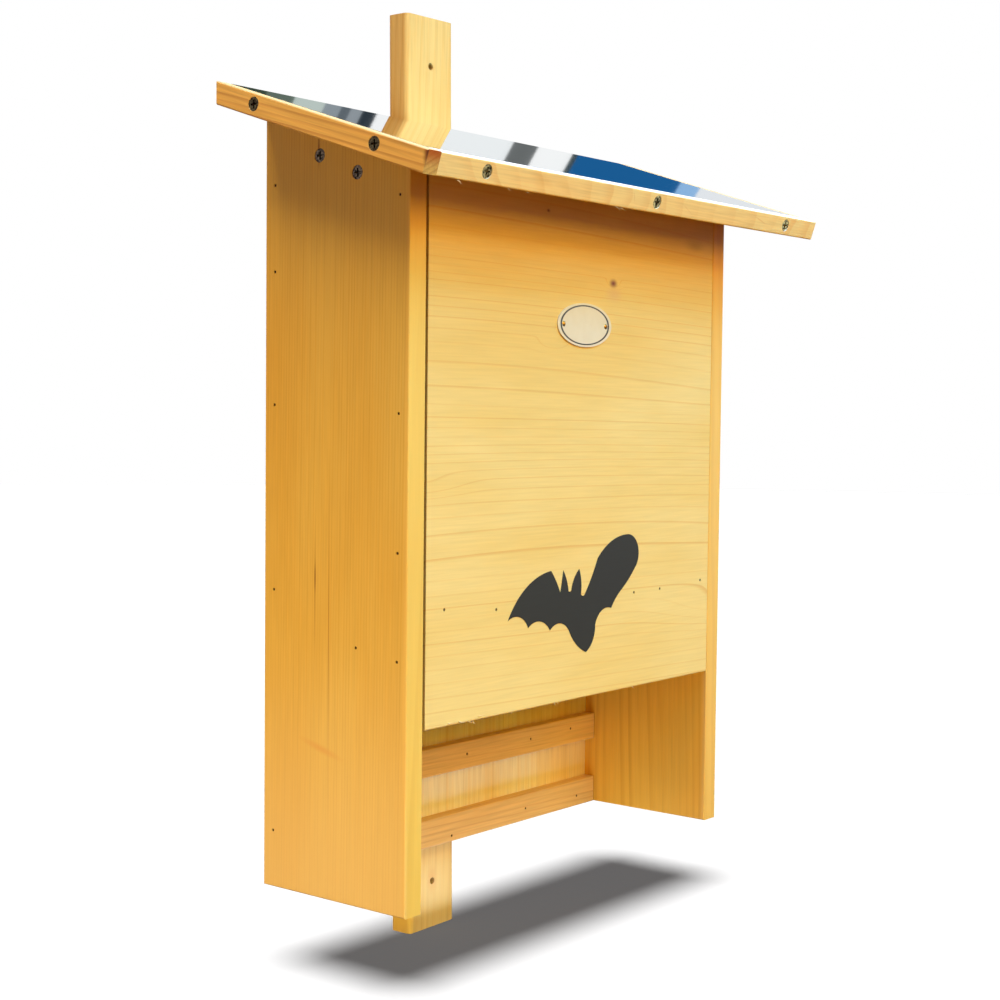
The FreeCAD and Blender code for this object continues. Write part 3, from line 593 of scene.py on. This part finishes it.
floor_gap = 0.0005    # keeps the floor clear of the rail's foot
floor_z = cad_box[0][2] - floor_gap
floor_reach = 8.0
flag_height = 0.15
paper = new_material("white studio floor")
paper_shine = add(paper, "ShaderNodeBsdfDiffuse", {"Color": srgb("#404040")})
paper_glow = add(paper, "ShaderNodeEmission", {"Color": srgb("#FFFFFF"), "Strength": 0.125})
paper_shine = add(paper, "ShaderNodeAddShader", {0: paper_shine.outputs[0], 1: paper_glow.outputs[0]})
add(paper, "ShaderNodeOutputMaterial", {"Surface": paper_shine.outputs[0]})
floor = level_card("studio_floor", -floor_reach, floor_reach, -floor_reach, floor_reach, floor_z,
                   paper)
floor.visible_diffuse = False
floor.visible_glossy = False
flag = level_card("studio_flag", -0.089, 0.221, -0.081, 0.011, floor_z + flag_height, paper)
seen_by(flag, shadow=True)
floor_alone = linked_set("floor_alone", [floor])
all_but_floor = linked_set("all_but_floor", [floor], left_out=True)
flag_alone = linked_set("flag_alone", [flag])
all_but_flag = linked_set("all_but_flag", [flag], left_out=True)

# Lights: broad soft boxes in front, warm below and cool above, so that shade turns orange as in
# the photo, with more on the left and behind on the right. Weak ones low down stand for light off
# the floor. A lamp at the right glints in the screws alone, and a ceiling lights the floor alone.


def soft_box(name, place, aim, width, height, power, code):
    """Rectangular studio light that looks from one point at another."""
    light = bpy.data.lights.new(name, "AREA")
    light.shape = "RECTANGLE"
    light.size = width
    light.size_y = height
    light.energy = power
    light.color = srgb(code)[:3]
    lamp = bpy.data.objects.new(name, light)
    lamp.location = place
    lamp.rotation_euler = (Vector(aim) - Vector(place)).to_track_quat("-Z", "Y").to_euler()
    lamp.light_linking.receiver_collection = all_but_floor
    lamp.light_linking.blocker_collection = all_but_flag
    lamp.visible_camera = False
    bpy.context.scene.collection.objects.link(lamp)
    return lamp


box_middle = (0.02, -0.08, -0.25)    # about the middle
soft_box("front_box_low", (0.1, -1.75, 0.42), box_middle, 1.4, 0.8, 22.8, "#FFC000")
soft_box("front_box_middle", (0.1, -1.60, 1.05), box_middle, 1.4, 0.9, 19.0, "#A2F6FF")
soft_box("front_box_high", (0.1, -1.10, 1.60), box_middle, 1.4, 0.9, 62.1, "#81BCFF")
soft_box("left_box_high", (-1.0, -0.09, 1.60), box_middle, 1.2, 1.0, 39.5, "#FFDA9C")
left_foot = (-0.13, -0.06, -0.46)
soft_box("left_box_low", (-0.5, -0.05, -0.43), left_foot, 0.5, 0.12, 1.10, "#F8E0B4")
under_front = (0.0, -0.04, -0.38)
soft_box("floor_bounce", (0.0, -0.30, -0.497), under_front, 0.5, 0.18, 0.22, "#FFE700")
straight_up = (0.0156, -0.065, 0.0)
soft_box("inner_bounce", (0.0156, -0.065, -0.495), straight_up, 0.25, 0.08, 0.135, "#DDE9FF")
back_box = soft_box("back_box", (1.3, 1.5, 0.9), box_middle, 1.4, 1.4, 40.0, "#FFF0DC")
back_box.visible_glossy = False
roof_front = (0.0, -0.15, -0.09)
screw_glint = soft_box("screw_glint", (1.3, -1.1, -0.05), roof_front, 0.9, 0.5, 9.0, "#F4FFE8")
screw_groups = [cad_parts[group] for group in ("strip_screws", "rail_screws")]
screw_glint.light_linking.receiver_collection = linked_set("screws_alone", screw_groups)

ceiling_light = bpy.data.lights.new("ceiling", "SUN")
ceiling_light.energy = 60.0
ceiling_light.angle = math.radians(18.0)    # as wide as the shadow's edge is soft
ceiling = bpy.data.objects.new("ceiling", ceiling_light)
ceiling.light_linking.receiver_collection = floor_alone
ceiling.light_linking.blocker_collection = flag_alone
bpy.context.scene.collection.objects.link(ceiling)

# a dim red from all round keeps the deepest shade as warm as stained wood makes it
studio = bpy.data.worlds.new("studio")
bpy.context.scene.world = studio
studio.use_nodes = True
background = studio.node_tree.nodes["Background"]
background.inputs[0].default_value = (1.0, 0.12, 0.01, 1.0)
background.inputs[1].default_value = 0.095
bpy.context.scene.view_settings.view_transform = "Standard"

# Camera: where the photograph was taken from, left of the box and about level with its middle.

camera_data = bpy.data.cameras.new("camera")
camera_data.sensor_width = 36.0
camera_data.lens = 62.844
camera = bpy.data.objects.new("camera", camera_data)
camera_place = (-0.76633, -0.68043, -0.19697)
right_way = Vector((0.62387708, -0.78145223, 0.01047881)).normalized()
back_way = Vector((-0.78081001, -0.62267989, 0.05104385)).normalized()
up_way = back_way.cross(right_way).normalized()
turn = Matrix((right_way, up_way, back_way)).transposed().to_4x4()
camera.matrix_world = Matrix.Translation(camera_place) @ turn
bpy.context.scene.collection.objects.link(camera)
bpy.context.scene.camera = camera
